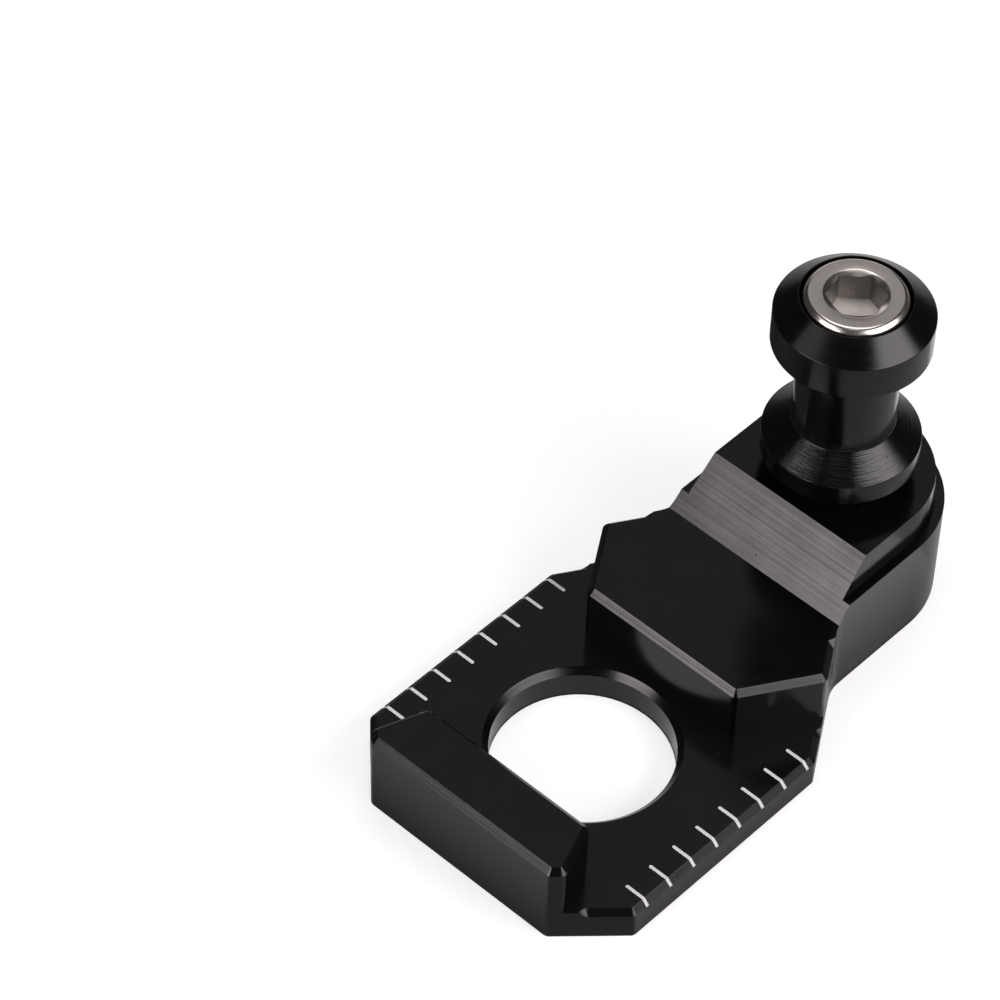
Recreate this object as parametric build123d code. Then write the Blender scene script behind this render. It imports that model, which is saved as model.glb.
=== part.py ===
"""Motorcycle chain adjuster: a milled block, a stand spool and the screw that clamps them.

All sizes are in millimetres. X runs from the axle end to the spool end, Y across the block
and Z up from the face that lies on the swingarm. The origin is the centre of the axle hole
on that face.
"""
import os
from math import cos, radians, tan

from build123d import *

# Block: heights, each one counted from the level below it
PLATE_THICKNESS = 5.4
RECESS_DEPTH = 9.4
LEDGE_RISE = 2.5
PLATFORM_RISE = 5.5

# Block: axle end
AXLE_HOLE_DIAMETER = 27.8
AXLE_HOLE_LAND = 2.3
RIDGE_THICKNESS = 10.4
RIDGE_INNER_LENGTH = 31.6
RIDGE_END_SETBACK = 1.7
PLATE_WIDTH = 52.6
CORNER_CUT = 8.9

# Block: deck and shoulders
DECK_FRONT_LENGTH = 29.0
DECK_FLARE_ANGLE = 32.4
SHOULDER_START = 21.6
SHOULDER_ANGLE = 32.3
SHOULDER_FILLET = 6.0
DECK_CHAMFER_RUNOUT = 1.8

# Block: tongue that carries the spool
TONGUE_WIDTH = 33.2
LEDGE_WIDTH = 1.8
SLANT_OFFSET = 0.05
SLANT_RUN = 7.45
PLATFORM_DRAFT = 4.0
SPOOL_SETBACK = 10.9

# Block: edges
TOP_CHAMFER = 0.95
CORNER_TOP_RADIUS = 0.3
CORNER_CHAMFER_STOP = 6.1
SHOULDER_CHAMFER_STOP = 4.45
CHAMFER_MILL_RADIUS = 0.95

# Block: scale marks, one of them level with the axle centre
MARK_PITCH = 5.0
MARKS_BEFORE_AXLE = 3
MARKS_AFTER_AXLE = 4
MARK_LENGTH = 4.25
MARK_WIDTH = 0.55
MARK_DEPTH = 0.2

# Spool
HUB_DIAMETER = 15.0
HUB_HEIGHT = 4.3
FLANGE_DIAMETER = 24.0
FOOT_BAND_HEIGHT = 3.6
FLANGE_CONE_HEIGHT = 3.3
NECK_DIAMETER = 15.6
NECK_LENGTH = 12.5
NECK_FILLET = 0.4
HEAD_BAND_HEIGHT = 5.7
CROWN_HEIGHT = 3.0
CROWN_RIM = 0.15
FLANGE_EDGE_BREAK = 0.2

# Screw, a hexagon socket head cap screw
SCREW_DIAMETER = 10.0
SCREW_LENGTH = 40.0
SCREW_END_CHAMFER = 1.0
SCREW_HEAD_DIAMETER = 15.8
SCREW_HEAD_HEIGHT = 10.0
SCREW_HEAD_EDGE_RADIUS = 0.9
SOCKET_ACROSS_FLATS = 8.0
SOCKET_DEPTH = 5.0
SOCKET_MOUTH_WIDENING = 0.9
SOCKET_MOUTH_ANGLE = 120.0
SOCKET_TURN = 12.0

# Fits
SCREW_HOLE_CLEARANCE = 0.5
COUNTERBORE_CLEARANCE = 0.4
THREAD_CLEARANCE = 0.1
TAPPED_HOLE_SPARE = 3.5
HEAD_STANDING_PROUD = 0.65
DRILL_POINT_ANGLE = 118.0

# Levels and places worked out from the sizes above
deck_top = PLATE_THICKNESS + RECESS_DEPTH
ledge_top = deck_top + LEDGE_RISE
platform_top = ledge_top + PLATFORM_RISE

half_plate = PLATE_WIDTH / 2
half_tongue = TONGUE_WIDTH / 2
half_platform = half_tongue - LEDGE_WIDTH
half_platform_foot = half_platform + PLATFORM_RISE * tan(radians(PLATFORM_DRAFT))
hole_radius = AXLE_HOLE_DIAMETER / 2
half_recess = hole_radius + AXLE_HOLE_LAND
axle_end = -(half_recess + RIDGE_THICKNESS)
corner_radius = TOP_CHAMFER + CORNER_TOP_RADIUS

ridge_outer = half_plate - CORNER_CUT + RIDGE_END_SETBACK
ridge_flare = (ridge_outer - RIDGE_INNER_LENGTH / 2) / (RIDGE_THICKNESS - RIDGE_END_SETBACK)
deck_flare = tan(radians(DECK_FLARE_ANGLE))
shoulder_slope = tan(radians(SHOULDER_ANGLE))
flare_to_shoulder = half_plate - DECK_FRONT_LENGTH / 2 + (SHOULDER_START - half_recess) * shoulder_slope
deck_corner_x = half_recess + flare_to_shoulder / (deck_flare + shoulder_slope)
deck_corner_y = DECK_FRONT_LENGTH / 2 + (deck_corner_x - half_recess) * deck_flare
shoulder_foot = SHOULDER_START + (half_plate - half_tongue) / shoulder_slope
fillet_reach = SHOULDER_FILLET * tan(radians(SHOULDER_ANGLE) / 2) * cos(radians(SHOULDER_ANGLE))
deck_end = shoulder_foot - fillet_reach - DECK_CHAMFER_RUNOUT
slant_start = shoulder_foot + SLANT_OFFSET
slant_end = slant_start + SLANT_RUN
slant_at_ledge = slant_start + SLANT_RUN * LEDGE_RISE / (LEDGE_RISE + PLATFORM_RISE)
spool_x = slant_end + SPOOL_SETBACK
tongue_end = spool_x + half_tongue

flange_radius = FLANGE_DIAMETER / 2
neck_radius = NECK_DIAMETER / 2
screw_radius = SCREW_DIAMETER / 2
head_radius = SCREW_HEAD_DIAMETER / 2
foot_band_bottom = platform_top + HUB_HEIGHT
foot_band_top = foot_band_bottom + FOOT_BAND_HEIGHT
neck_bottom = foot_band_top + FLANGE_CONE_HEIGHT
neck_top = neck_bottom + NECK_LENGTH
head_band_bottom = neck_top + FLANGE_CONE_HEIGHT
head_band_top = head_band_bottom + HEAD_BAND_HEIGHT
spool_top = head_band_top + CROWN_HEIGHT
head_seat = spool_top + HEAD_STANDING_PROUD - SCREW_HEAD_HEIGHT
screw_tip = head_seat - SCREW_LENGTH


def nearest_vertex(shape, x, y):
    """Return the vertex of a flat shape that lies nearest to a point."""
    return shape.vertices().sort_by_distance((x, y, 0))[0]


def round_pair(plan, x, y):
    """Round the corner of a plan that lies nearest to a point, and the one across from it."""
    return fillet([nearest_vertex(plan, x, side * y) for side in (1, -1)], corner_radius)


def prism(sketch, height):
    """Raise a flat outline from the swingarm face to a height."""
    return extrude(sketch, amount=height, dir=(0, 0, 1))


def side_profile(points):
    """Extrude an X-Z outline across the whole width of the plate."""
    return extrude(Plane.XZ * Polygon(*points, align=None), amount=half_plate, both=True)


def chamfer_top(solid, keep_last=False):
    """Chamfer the edges of the highest face, but for the one nearest the spool if asked."""
    edges = solid.faces().sort_by(Axis.Z)[-1].edges().sort_by(Axis.X)
    chosen = edges[:-1] if keep_last else edges
    return chamfer(chosen, TOP_CHAMFER)


def block_outline():
    """Plan of the whole block: plate with cut corners, shoulders, and the round-ended tongue."""
    half = [
        (axle_end, half_plate - CORNER_CUT),
        (axle_end + CORNER_CUT, half_plate),
        (SHOULDER_START, half_plate),
        (shoulder_foot, half_tongue),
        (spool_x, half_tongue),
    ]
    other_half = [(x, -y) for x, y in reversed(half)]
    outline = Polygon(*half, *other_half, align=None) + Pos(spool_x, 0) * Circle(half_tongue)
    outer = [nearest_vertex(outline, x, side * y) for x, y in half[:3] for side in (1, -1)]
    outline = fillet(outer, corner_radius)
    inner = [nearest_vertex(outline, shoulder_foot, side * half_tongue) for side in (1, -1)]
    return fillet(inner, SHOULDER_FILLET)


def flared_region(front_x, front_length, flare, end_x):
    """Plan area behind a straight wall, with both of its ends flaring outwards by a slope."""
    near = front_length / 2
    far = near + abs(end_x - front_x) * flare
    region = Polygon((front_x, near), (end_x, far), (end_x, -far), (front_x, -near), align=None)
    return round_pair(region, front_x, near)


def scale_mark():
    """Tool that engraves one mark: a round-ended slot that runs on down the edge chamfer."""
    mark_radius = MARK_WIDTH / 2
    inner_end = half_plate - MARK_LENGTH
    floor = PLATE_THICKNESS - MARK_DEPTH
    chamfer_slope = radians(45)
    bend = half_plate - TOP_CHAMFER - MARK_DEPTH * tan(chamfer_slope / 2)
    above = PLATE_THICKNESS + MARK_WIDTH
    outside = half_plate + MARK_WIDTH
    section = Polygon(
        (inner_end + mark_radius, floor),
        (bend, floor),
        (outside, floor - (outside - bend)),
        (outside, above),
        (inner_end + mark_radius, above),
        align=None,
    )
    slot = extrude(Plane.YZ * section, amount=mark_radius, both=True)
    round_end = Pos(0, inner_end + mark_radius, floor) * Cylinder(
        mark_radius, above - floor, align=(Align.CENTER, Align.CENTER, Align.MIN)
    )
    return slot + round_end


def sharp_edge(outline, stop, length):
    """Stretch of plate edge that the chamfer mill, stopped short of a wall, leaves sharp."""
    strip = stop * Pos(length / 2, 0) * Rectangle(abs(length), 4 * TOP_CHAMFER)
    mill_height = PLATE_THICKNESS - TOP_CHAMFER / 2
    mill = stop * Pos(0, CHAMFER_MILL_RADIUS, mill_height) * Cone(
        CHAMFER_MILL_RADIUS, CHAMFER_MILL_RADIUS + TOP_CHAMFER, TOP_CHAMFER
    )
    return prism(outline & strip, PLATE_THICKNESS) - mill


def sharp_edges(outline):
    """Sharp stretches of one side: beside the ridge on the corner cut, beside the deck on the shoulder."""
    cut = Pos(axle_end, half_plate - CORNER_CUT) * Rot(0, 0, 45)
    shoulder = Pos(SHOULDER_START, half_plate) * Rot(0, 0, -SHOULDER_ANGLE)
    deck_reach = (deck_corner_x - SHOULDER_START) / cos(radians(SHOULDER_ANGLE)) + corner_radius
    beside_ridge = sharp_edge(outline, cut * Pos(CORNER_CHAMFER_STOP, 0), -CORNER_CHAMFER_STOP)
    beside_deck = sharp_edge(
        outline, shoulder * Pos(SHOULDER_CHAMFER_STOP, 0), deck_reach - SHOULDER_CHAMFER_STOP
    )
    return beside_ridge, beside_deck


def axle_end_body(outline):
    """Plate with the ridge and the deck standing on it, all with chamfered upper edges."""
    span = Pos((axle_end + deck_end) / 2, 0) * Rectangle(deck_end - axle_end, PLATE_WIDTH)
    ridge_region = flared_region(-half_recess, RIDGE_INNER_LENGTH, ridge_flare, axle_end)
    deck_region = flared_region(half_recess, DECK_FRONT_LENGTH, deck_flare, deck_end)
    ridge_plan = round_pair(outline & ridge_region, axle_end + RIDGE_END_SETBACK, ridge_outer)
    deck_plan = round_pair(outline & deck_region, deck_corner_x, deck_corner_y)
    plate = chamfer_top(prism(outline & span, PLATE_THICKNESS), keep_last=True)
    ridge = chamfer_top(prism(ridge_plan, deck_top))
    deck = chamfer_top(prism(deck_plan, deck_top), keep_last=True)
    body = plate + ridge + deck
    for edge in sharp_edges(outline):
        body += edge
        body += mirror(edge, Plane.XZ)
    return body


def spool_end_body(outline):
    """Tongue with its slant, and the narrower platform that leaves a ledge all round."""
    tongue_side = side_profile([
        (deck_end, 0),
        (tongue_end, 0),
        (tongue_end, ledge_top),
        (slant_at_ledge, ledge_top),
        (slant_start, deck_top),
        (deck_end, deck_top),
    ])
    platform_side = side_profile([
        (slant_start, deck_top),
        (tongue_end, deck_top),
        (tongue_end, platform_top),
        (slant_end, platform_top),
    ])
    straight = Pos((slant_start + spool_x) / 2, 0) * Rectangle(spool_x - slant_start, 2 * half_platform_foot)
    foot = Pos(0, 0, ledge_top) * (straight + Pos(spool_x, 0) * Circle(half_platform_foot))
    platform = extrude(foot, amount=PLATFORM_RISE, dir=(0, 0, 1), taper=PLATFORM_DRAFT)
    return (prism(outline, ledge_top) & tongue_side) + (platform & platform_side)


def axle_hole():
    """Tool for the axle hole and its chamfered mouth."""
    mouth = Cone(hole_radius, hole_radius + TOP_CHAMFER, TOP_CHAMFER)
    return Cylinder(hole_radius, 2 * PLATE_THICKNESS) + Pos(0, 0, PLATE_THICKNESS - TOP_CHAMFER / 2) * mouth


def tapped_hole():
    """Tool for the blind hole of the screw, with the cone that the drill leaves."""
    radius = screw_radius + THREAD_CLEARANCE
    point = screw_tip - TAPPED_HOLE_SPARE
    full_width = point + radius / tan(radians(DRILL_POINT_ANGLE / 2))
    half_section = Polygon(
        (0, point),
        (radius, full_width),
        (radius, platform_top),
        (0, platform_top),
        align=None,
    )
    return Pos(spool_x, 0) * revolve(Plane.XZ * half_section, Axis.Z)


def make_adjuster_block():
    """The block, milled from one billet, with its holes and engraved scales."""
    outline = block_outline()
    block = axle_end_body(outline) + spool_end_body(outline) - axle_hole() - tapped_hole()
    mark = scale_mark()
    for step in range(-MARKS_BEFORE_AXLE, MARKS_AFTER_AXLE + 1):
        placed = Pos(step * MARK_PITCH, 0) * mark
        block -= placed
        block -= mirror(placed, Plane.XZ)
    return block


def make_stand_spool():
    """The spool, turned from bar: hub, foot flange, neck, head flange and counterbore."""
    bore_radius = screw_radius + SCREW_HOLE_CLEARANCE
    counterbore_radius = head_radius + COUNTERBORE_CLEARANCE
    profile = Polygon(
        (bore_radius, platform_top),
        (HUB_DIAMETER / 2, platform_top),
        (HUB_DIAMETER / 2, foot_band_bottom),
        (flange_radius, foot_band_bottom),
        (flange_radius, foot_band_top),
        (neck_radius, neck_bottom),
        (neck_radius, neck_top),
        (flange_radius, head_band_bottom),
        (flange_radius, head_band_top),
        (counterbore_radius + CROWN_RIM, spool_top),
        (counterbore_radius, spool_top),
        (counterbore_radius, head_seat),
        (bore_radius, head_seat),
        align=None,
    )
    neck_corners = [nearest_vertex(profile, neck_radius, z) for z in (neck_bottom, neck_top)]
    profile = fillet(neck_corners, NECK_FILLET)
    flange_levels = (foot_band_bottom, foot_band_top, head_band_bottom, head_band_top)
    flange_corners = [nearest_vertex(profile, flange_radius, z) for z in flange_levels]
    profile = chamfer(flange_corners, FLANGE_EDGE_BREAK)
    return Pos(spool_x, 0) * revolve(Plane.XZ * profile, Axis.Z)


def make_spool_screw():
    """The cap screw: round-edged head with a hexagon socket, and a plain shank for the thread."""
    head_top = head_seat + SCREW_HEAD_HEIGHT
    profile = Polygon(
        (0, screw_tip),
        (screw_radius - SCREW_END_CHAMFER, screw_tip),
        (screw_radius, screw_tip + SCREW_END_CHAMFER),
        (screw_radius, head_seat),
        (head_radius, head_seat),
        (head_radius, head_top),
        (0, head_top),
        align=None,
    )
    profile = fillet(nearest_vertex(profile, head_radius, head_top), SCREW_HEAD_EDGE_RADIUS)
    body = revolve(Plane.XZ * profile, Axis.Z)
    flat_radius = SOCKET_ACROSS_FLATS / 2
    hexagon = RegularPolygon(flat_radius / cos(radians(30)), 6, rotation=SOCKET_TURN)
    socket = Pos(0, 0, head_top - SOCKET_DEPTH) * extrude(hexagon, amount=SOCKET_DEPTH)
    mouth_depth = SOCKET_MOUTH_WIDENING / tan(radians(SOCKET_MOUTH_ANGLE / 2))
    mouth = Pos(0, 0, head_top - mouth_depth / 2) * Cone(
        flat_radius, flat_radius + SOCKET_MOUTH_WIDENING, mouth_depth
    )
    return Pos(spool_x, 0) * (body - socket - mouth)


os.makedirs("parts", exist_ok=True)
export_step(make_adjuster_block(), "parts/adjuster_block.step")
export_step(make_stand_spool(), "parts/stand_spool.step")
export_step(make_spool_screw(), "parts/spool_screw.step")
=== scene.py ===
"""Looks of a motorcycle chain adjuster: milled block, painted scales, stand spool and cap screw.

Lengths are in metres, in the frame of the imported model. X runs from the axle end to the spool
end, Y across the block and Z up from the face that lies on the swingarm.
"""
import logging
from dataclasses import dataclass, field
from enum import Enum
from math import cos, pi, radians, sin, tan

import bmesh
import bpy
from bpy.types import ID, Material, Mesh, MeshPolygon, Node, NodeSocket, NodeTree, Object
from mathutils import Matrix, Vector


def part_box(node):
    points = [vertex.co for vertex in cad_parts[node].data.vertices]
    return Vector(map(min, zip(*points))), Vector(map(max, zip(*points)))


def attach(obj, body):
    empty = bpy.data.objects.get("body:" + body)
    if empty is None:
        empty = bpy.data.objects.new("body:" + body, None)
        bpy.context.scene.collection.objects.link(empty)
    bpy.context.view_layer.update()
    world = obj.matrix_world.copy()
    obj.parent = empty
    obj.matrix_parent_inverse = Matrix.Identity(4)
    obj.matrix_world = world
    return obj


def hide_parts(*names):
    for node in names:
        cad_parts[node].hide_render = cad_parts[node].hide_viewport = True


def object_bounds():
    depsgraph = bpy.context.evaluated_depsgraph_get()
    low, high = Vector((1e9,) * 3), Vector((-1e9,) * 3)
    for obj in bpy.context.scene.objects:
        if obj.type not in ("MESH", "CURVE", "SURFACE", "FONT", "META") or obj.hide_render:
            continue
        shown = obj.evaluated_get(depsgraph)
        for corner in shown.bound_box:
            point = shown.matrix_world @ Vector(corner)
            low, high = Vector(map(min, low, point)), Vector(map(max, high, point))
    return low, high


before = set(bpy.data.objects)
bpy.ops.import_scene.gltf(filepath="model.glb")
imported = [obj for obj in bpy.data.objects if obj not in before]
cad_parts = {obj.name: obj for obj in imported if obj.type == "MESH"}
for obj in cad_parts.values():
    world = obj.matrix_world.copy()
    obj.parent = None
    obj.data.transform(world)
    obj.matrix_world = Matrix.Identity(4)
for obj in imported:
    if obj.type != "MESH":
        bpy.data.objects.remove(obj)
CAD_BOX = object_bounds()

LOG = logging.getLogger("chain_adjuster")
MM = 0.001
MICRON = 0.000001
# Edges are cut at this angle.
EDGE_BEND = radians(45)
# Nearly all values of a noise pattern lie between these two.
NOISE_LOW = 0.3
NOISE_HIGH = 0.7

Colour = tuple[float, float, float, float]
Point = tuple[float, float, float]


def linear(hex_colour: str) -> Colour:
    """Turn an sRGB hex colour into linear light.

    Args:
        hex_colour: Colour such as "#1c1a1c".

    Returns:
        Linear red, green, blue and an alpha of one.
    """
    shares = [int(hex_colour[i:i + 2], 16) / 255 for i in (1, 3, 5)]
    red, green, blue = [s / 12.92 if s <= 0.04045 else ((s + 0.055) / 1.055) ** 2.4 for s in shares]
    return red, green, blue, 1.0


def add_node(tree: NodeTree, kind: str, inputs: dict | None = None, **settings) -> Node:
    """Add one node to a tree, with its settings, input values and links.

    Args:
        tree: Shader or geometry tree that gets the node.
        kind: Type name of the node.
        inputs: Input name or number, to a plain value or to the output socket that feeds it.
        settings: Properties of the node itself.

    Returns:
        The new node.
    """
    node = tree.nodes.new(kind)
    for name, value in settings.items():
        setattr(node, name, value)
    for key, value in (inputs or {}).items():
        if isinstance(value, NodeSocket):
            tree.links.new(value, node.inputs[key])
        else:
            node.inputs[key].default_value = value
    return node


def new_material(name: str) -> tuple[Material, NodeTree]:
    """Make an empty node material.

    Args:
        name: Name of the real material.

    Returns:
        The material and its cleared node tree.
    """
    material = bpy.data.materials.new(name)
    material.use_nodes = True
    material.node_tree.nodes.clear()
    return material, material.node_tree


def new_object(name: str, data: ID) -> Object:
    """Link a mesh, a curve or a camera into the scene as an object at the origin.

    Args:
        name: Name of the object.
        data: What the object shows.

    Returns:
        The object.
    """
    made = bpy.data.objects.new(name, data)
    bpy.context.scene.collection.objects.link(made)
    return made


def flat_mesh(name: str, corners: list[Point]) -> Mesh:
    """Make a mesh of one flat face.

    Args:
        name: Name of the mesh.
        corners: Corners of the face, in order.

    Returns:
        The mesh.
    """
    mesh = bpy.data.meshes.new(name)
    mesh.from_pydata(corners, [], [tuple(range(len(corners)))])
    return mesh


def closed_section(name: str, corners: list[Point]) -> Object:
    """Draw a closed section as a curve in the plane of X and Y.

    Args:
        name: Name of the object and its curve.
        corners: X, Y and curve radius of each corner.

    Returns:
        Object that carries the curve.
    """
    curve = bpy.data.curves.new(name, "CURVE")
    curve.dimensions = "3D"
    line = curve.splines.new("POLY")
    line.points.add(len(corners) - 1)
    for point, (x, y, radius) in zip(line.points, corners):
        point.co = (x, y, 0, 1)
        point.radius = radius
    line.use_cyclic_u = True
    return new_object(name, curve)


def new_geometry_tree(name: str, inputs: dict[str, str]) -> tuple[NodeTree, Node]:
    """Start a geometry tree with one geometry going through it and named inputs.

    Args:
        name: Name of the tree.
        inputs: Name of each further input, to its socket type.

    Returns:
        The tree and its group input node.
    """
    tree = bpy.data.node_groups.new(name, "GeometryNodeTree")
    tree.interface.new_socket("Geometry", in_out="INPUT", socket_type="NodeSocketGeometry")
    for label, kind in inputs.items():
        tree.interface.new_socket(label, in_out="INPUT", socket_type=kind)
    tree.interface.new_socket("Geometry", in_out="OUTPUT", socket_type="NodeSocketGeometry")
    return tree, add_node(tree, "NodeGroupInput")


def end_geometry_tree(tree: NodeTree, geometry: NodeSocket, material: NodeSocket) -> None:
    """Finish a geometry tree: welded, real, smooth and with its material.

    Args:
        tree: Tree to finish.
        geometry: Output socket that holds the shape.
        material: Output socket that holds the material.
    """
    real = add_node(tree, "GeometryNodeRealizeInstances", {0: geometry})
    weld = add_node(
        tree, "GeometryNodeMergeByDistance", {"Geometry": real.outputs[0], "Distance": MICRON}
    )
    smooth = add_node(tree, "GeometryNodeSetShadeSmooth", {0: weld.outputs[0]})
    dressed = add_node(
        tree, "GeometryNodeSetMaterial", {"Geometry": smooth.outputs[0], "Material": material}
    )
    add_node(tree, "NodeGroupOutput", {0: dressed.outputs[0]})


def add_tree(obj: Object, tree: NodeTree, values: dict) -> None:
    """Put a geometry tree on an object and set the tree's inputs by their identifiers.

    Args:
        obj: Object that carries the modifier.
        tree: Geometry tree.
        values: Input name to value.
    """
    modifier = obj.modifiers.new(tree.name, "NODES")
    modifier.node_group = tree
    for item in tree.interface.items_tree:
        if item.item_type == "SOCKET" and item.in_out == "INPUT" and item.name in values:
            modifier[item.identifier] = values[item.name]


def weigh_normals(obj: Object, weight: int = 100) -> None:
    """Let the large faces rule the shading, so that flats stay flat beside small edge breaks.

    Args:
        obj: Object that carries the modifier.
        weight: How strongly the large faces rule, from 1 to 100.
    """
    modifier = obj.modifiers.new("weighted_normals", "WEIGHTED_NORMAL")
    modifier.mode = "FACE_AREA"
    modifier.weight = weight
    modifier.keep_sharp = True


def bake(obj: Object, name: str) -> Object:
    """Replace an object and its modifiers by one plain mesh.

    Args:
        obj: Object with live modifiers, which is removed.
        name: Name of the finished piece.

    Returns:
        The finished piece, at the origin.
    """
    graph = bpy.context.evaluated_depsgraph_get()
    mesh = bpy.data.meshes.new_from_object(
        obj.evaluated_get(graph), preserve_all_data_layers=True, depsgraph=graph
    )
    mesh.name = name
    bpy.data.objects.remove(obj)
    return new_object(name, mesh)


class LineCourse(Enum):
    """Which way the lines left by the cutting tool run."""

    LEVEL = "at one height, along chamfers and slopes and round cones"
    ROUND_AXIS = "in rings round the spool axis"


@dataclass(frozen=True)
class ToolLines:
    """Fine lines that a cutter leaves: close across, long drawn along their course."""

    course: LineCourse
    spacing: float
    height: float
    # Length of level lines. Rings close on themselves.
    length: float = 0.0
    # How far the roughness goes up and down with the lines.
    streak: float = 0.0
    axis_x: float = 0.0
    detail: float = 3.0
    raggedness: float = 0.65

    def pattern(self, tree: NodeTree, place: NodeSocket) -> NodeSocket:
        """Draw the lines as a value between nought and one.

        Args:
            tree: Shader tree.
            place: Object coordinates.

        Returns:
            Output socket of the pattern.
        """
        across = 1 / self.spacing
        inputs = {"Detail": self.detail, "Roughness": self.raggedness}
        if self.course is LineCourse.ROUND_AXIS:
            centred = add_node(
                tree, "ShaderNodeMapping", {"Vector": place, "Location": (-self.axis_x, 0, 0)}
            )
            flat = add_node(
                tree, "ShaderNodeVectorMath", {0: centred.outputs[0], 1: (1, 1, 0)}, operation="MULTIPLY"
            )
            radius = add_node(tree, "ShaderNodeVectorMath", {0: flat.outputs[0]}, operation="LENGTH")
            inputs |= {"W": radius.outputs["Value"], "Scale": across}
            return add_node(tree, "ShaderNodeTexNoise", inputs, noise_dimensions="1D").outputs[0]
        along = 1 / self.length
        stretched = add_node(
            tree, "ShaderNodeMapping", {"Vector": place, "Scale": (along, along, across)}
        )
        inputs |= {"Vector": stretched.outputs[0], "Scale": 1.0}
        return add_node(tree, "ShaderNodeTexNoise", inputs).outputs[0]


@dataclass(frozen=True)
class BlackAnodise:
    """Black anodised aluminium, dyed and sealed.

    The eye gets a deep black with a thin clear gloss that mirrors the studio softly, and where a
    cutter or a turning tool ran last, fine lines that break the mirror image up.
    """

    name: str
    roughness: float
    lines: ToolLines | None = None
    colour: str = "#050405"
    worn_colour: str = "#0b0a0b"
    ior: float = 1.39
    cloud_size: float = 7 * MM
    cloud_detail: float = 3.0
    cloud_spread: float = 0.025
    # Etch grain is taken to be 0.02 mm. It is drawn at 0.18 mm so that it shows at all.
    grain_size: float = 0.18 * MM
    grain_detail: float = 2.0
    grain_height: float = 0.22 * MICRON
    # Etch pits are taken to be 0.05 mm across. They are drawn at 0.3 mm so that they show.
    pit_cell: float = 2.6 * MM
    pit_radius: float = 0.15 * MM
    pit_floor: float = 0.6
    pit_roughness: float = 0.6

    def build(self) -> Material:
        """Build the node material.

        Returns:
            The material.
        """
        material, tree = new_material(self.name)
        place = add_node(tree, "ShaderNodeTexCoord").outputs["Object"]
        cloud = add_node(
            tree,
            "ShaderNodeTexNoise",
            {"Vector": place, "Scale": 1 / self.cloud_size, "Detail": self.cloud_detail},
        )
        grain = add_node(
            tree,
            "ShaderNodeTexNoise",
            {"Vector": place, "Scale": 1 / self.grain_size, "Detail": self.grain_detail},
        )
        rough = self.skin_roughness(tree, place, cloud.outputs[0])
        bump_inputs = {"Height": grain.outputs[0], "Distance": self.grain_height}
        worn = cloud.outputs[0]
        if self.lines is not None:
            worn = self.lines.pattern(tree, place)
            cut = add_node(tree, "ShaderNodeBump", {"Height": worn, "Distance": self.lines.height})
            bump_inputs["Normal"] = cut.outputs[0]
            streaks = add_node(
                tree,
                "ShaderNodeMapRange",
                {
                    "Value": worn,
                    "From Min": NOISE_LOW,
                    "From Max": NOISE_HIGH,
                    "To Min": -self.lines.streak,
                    "To Max": self.lines.streak,
                },
            )
            streaked = add_node(
                tree,
                "ShaderNodeMath",
                {0: rough, 1: streaks.outputs[0]},
                operation="ADD",
                use_clamp=True,
            )
            rough = streaked.outputs[0]
        bump = add_node(tree, "ShaderNodeBump", bump_inputs)
        colour = add_node(
            tree,
            "ShaderNodeMix",
            {"Factor": worn, "A": linear(self.colour), "B": linear(self.worn_colour)},
            data_type="RGBA",
        )
        surface = add_node(
            tree,
            "ShaderNodeBsdfPrincipled",
            {
                "Base Color": colour.outputs["Result"],
                "Roughness": rough,
                "IOR": self.ior,
                "Normal": bump.outputs[0],
            },
        )
        add_node(tree, "ShaderNodeOutputMaterial", {"Surface": surface.outputs[0]})
        return material

    def skin_roughness(self, tree: NodeTree, place: NodeSocket, cloud: NodeSocket) -> NodeSocket:
        """Work out the roughness of the sealed skin: a little clouded, and dull in its pits.

        Args:
            tree: Shader tree.
            place: Object coordinates.
            cloud: Pattern of the clouds.

        Returns:
            Output socket of the roughness.
        """
        pits = add_node(tree, "ShaderNodeTexVoronoi", {"Vector": place, "Scale": 1 / self.pit_cell})
        pit_edge = self.pit_radius / self.pit_cell
        pitted = add_node(
            tree,
            "ShaderNodeMapRange",
            {
                "Value": pits.outputs["Distance"],
                "From Min": pit_edge * self.pit_floor,
                "From Max": pit_edge,
                "To Min": self.pit_roughness,
                "To Max": 0.0,
            },
        )
        clouded = add_node(
            tree,
            "ShaderNodeMapRange",
            {
                "Value": cloud,
                "From Min": NOISE_LOW,
                "From Max": NOISE_HIGH,
                "To Min": self.roughness - self.cloud_spread,
                "To Max": self.roughness + self.cloud_spread,
            },
        )
        rough = add_node(
            tree,
            "ShaderNodeMath",
            {0: clouded.outputs[0], 1: pitted.outputs[0]},
            operation="ADD",
            use_clamp=True,
        )
        return rough.outputs[0]


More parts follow.
